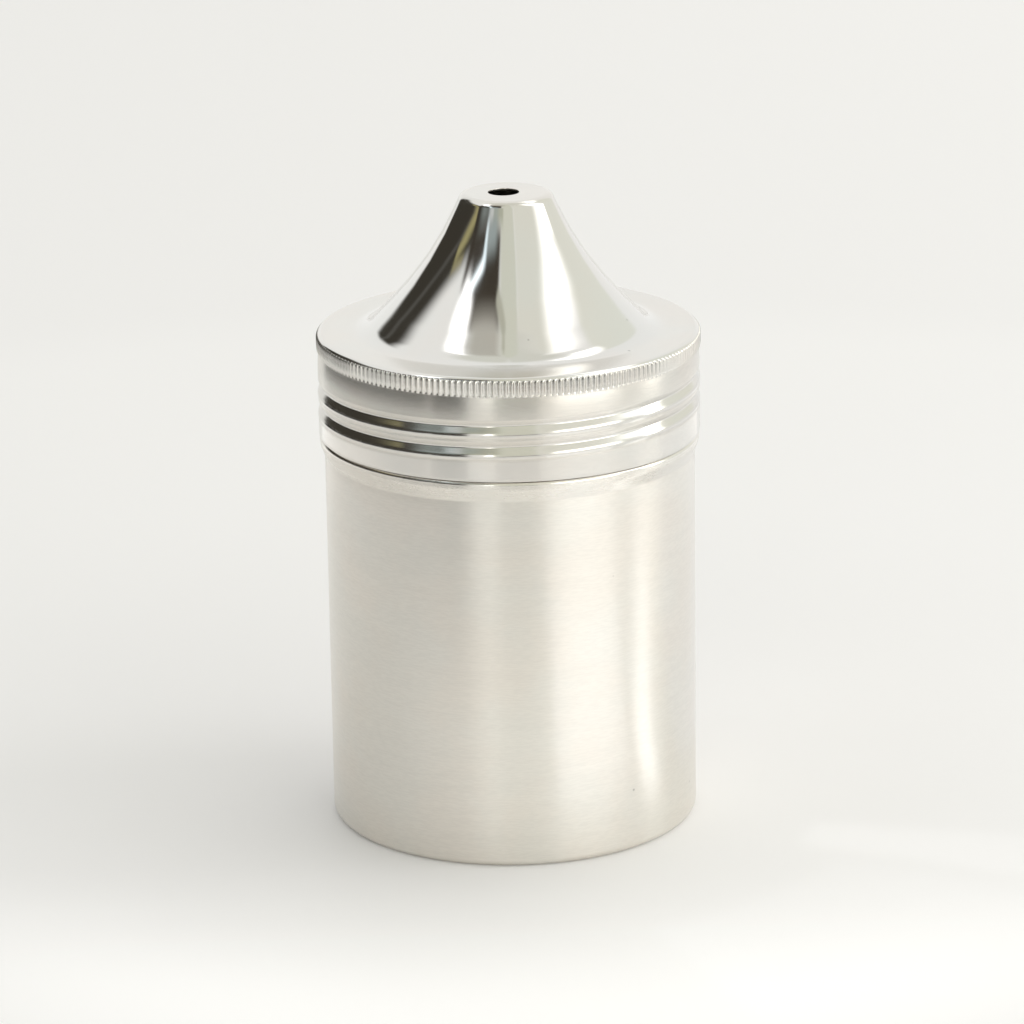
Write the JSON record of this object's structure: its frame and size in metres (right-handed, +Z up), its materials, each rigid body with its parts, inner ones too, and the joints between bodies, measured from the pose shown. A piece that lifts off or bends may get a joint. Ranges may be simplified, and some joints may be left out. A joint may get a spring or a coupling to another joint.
{
  "type": "melting pot",
  "caption": "Cylindrical stainless melting pot with a knurled screw lid that rises into a hollow cone with a small pour hole in its flat top.",
  "frame": {"origin": "centre of the pot's base, on the surface that it stands on", "axes": "+Z up along the pot's axis, -Y towards the front; the pour hole is punched 0.5 mm off the axis towards -X"},
  "size_m": [0.0744, 0.0744, 0.1247],
  "materials": {
    "brushed_stainless": "satin, brushed round the wall",
    "polished_stainless": "mirror-polished cone, satin shoulder and skirt",
    "silicone": "matte, translucent white"
  },
  "bodies": {
    "pot": {"pot_body": "brushed_stainless"},
    "gasket": {"lid_gasket": "silicone"},
    "lid": {"lid": "polished_stainless"}
  },
  "joints": [
    {"name": "lid_lift", "type": "slide", "parent": "pot", "child": "gasket", "axis": [0, 0, 1], "range_m": [0, 0.0206]},
    {"name": "lid_turn", "type": "hinge", "parent": "gasket", "child": "lid", "pos_m": [0, 0, 0.0979], "axis": [0, 0, 1], "range_deg": [0, 1800]}
  ],
  "couplings": [
    {"joint": "lid_lift", "follows": "lid_turn", "m_per_rad": 0.00065254}
  ]
}
